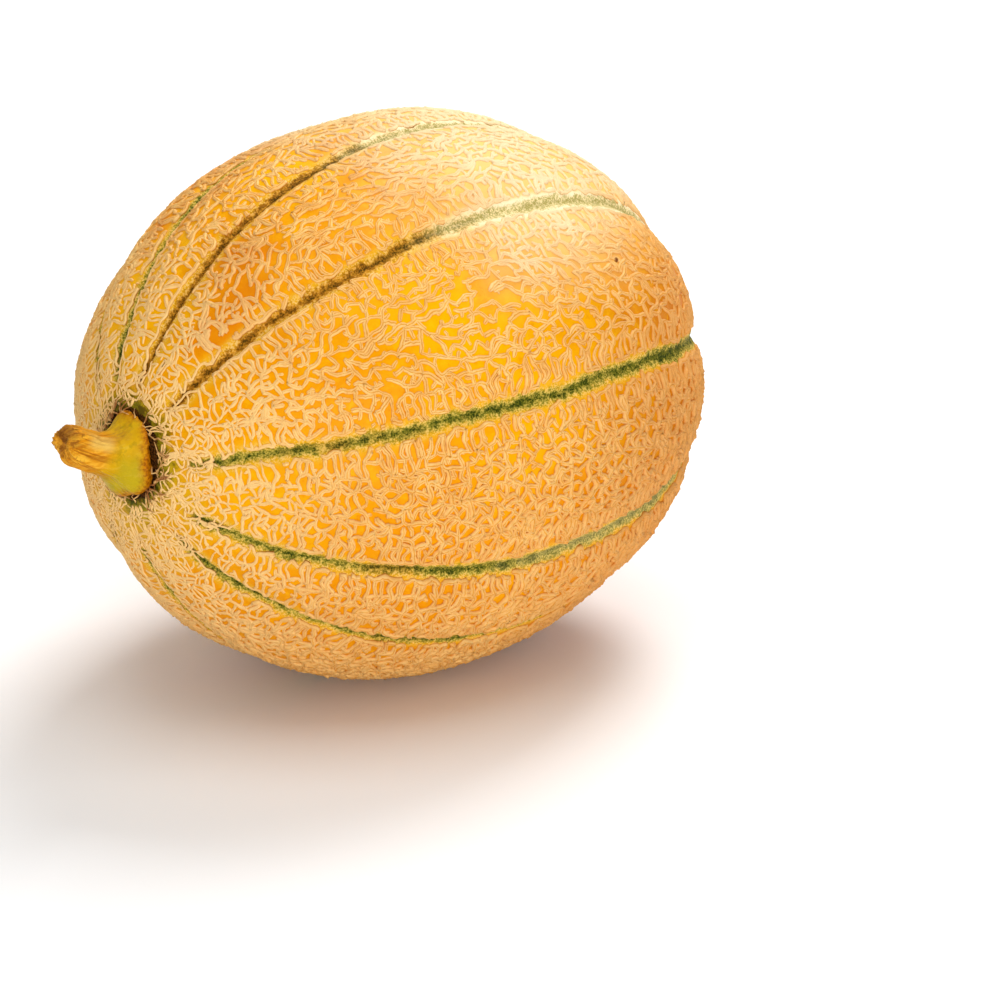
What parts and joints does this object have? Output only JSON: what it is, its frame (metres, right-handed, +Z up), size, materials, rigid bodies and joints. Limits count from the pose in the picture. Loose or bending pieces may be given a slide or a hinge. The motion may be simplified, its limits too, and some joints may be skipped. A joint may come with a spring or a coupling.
{
  "type": "cantaloupe melon",
  "caption": "Whole ripe netted melon lying on its side, ribbed by shallow sutures and covered in a raised corky net, with a short dried stem stub; food or display fruit.",
  "frame": {"origin": "middle of the small flat spot that the fruit rests on", "axes": "+X along the fruit's long axis, from the stem to the blossom end; +Z up from the surface it lies on"},
  "size_m": [0.1916, 0.138, 0.1424],
  "materials": {
    "golden_rind": "satin golden skin under a dull corky net",
    "olive_stem": "dull, fibrous, half dried"
  },
  "bodies": {
    "root": {"fruit": "golden_rind", "stem": "olive_stem"}
  },
  "joints": []
}
